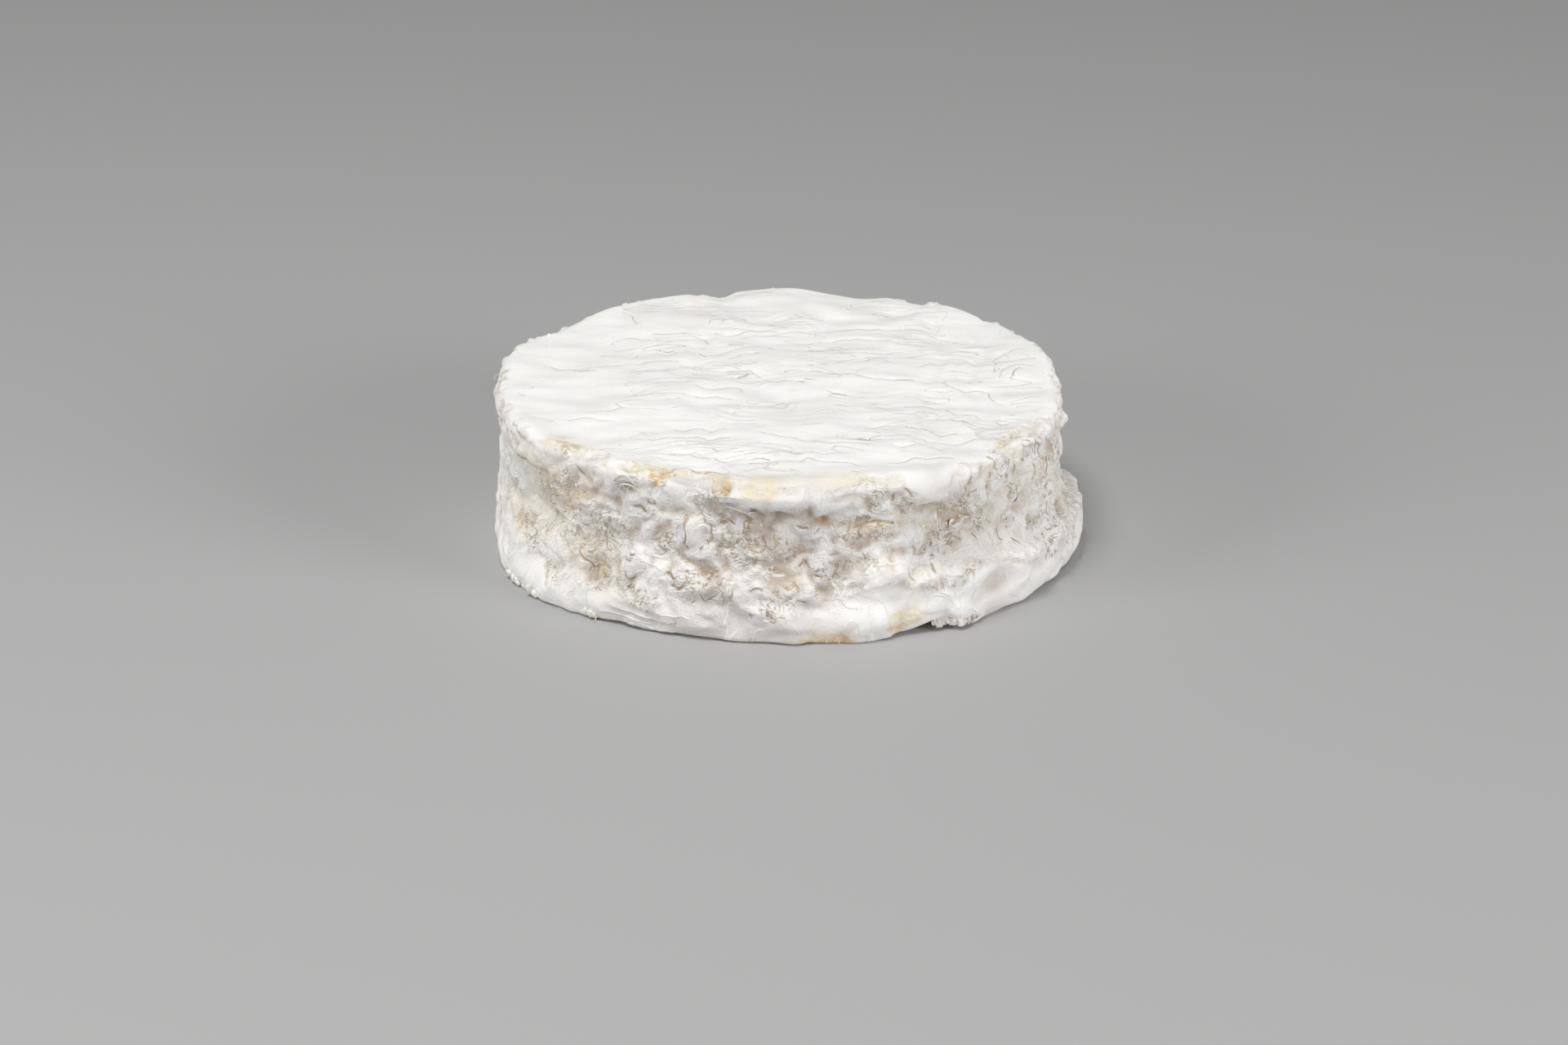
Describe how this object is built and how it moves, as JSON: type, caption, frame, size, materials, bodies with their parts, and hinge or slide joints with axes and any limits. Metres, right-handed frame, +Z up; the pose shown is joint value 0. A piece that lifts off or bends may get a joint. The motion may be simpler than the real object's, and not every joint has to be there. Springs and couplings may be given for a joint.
{
  "type": "coulommiers cheese",
  "caption": "Whole round soft cheese with a white bloomy rind, a rippled top, a wrinkled wall and a spreading foot.",
  "frame": {"origin": "centre of the bounding box at its base, on the flat underside", "axes": "+Z up, out of the rippled top; -Y faces the viewer, towards the lip and the torn edge of the base; +X is the side whose foot spreads most"},
  "size_m": [0.1422, 0.1404, 0.0403],
  "materials": {
    "rind": "matt white mould bloom, greyer and beige in the hollows of the wall"
  },
  "bodies": {
    "root": {"cheese": "rind"}
  },
  "joints": []
}
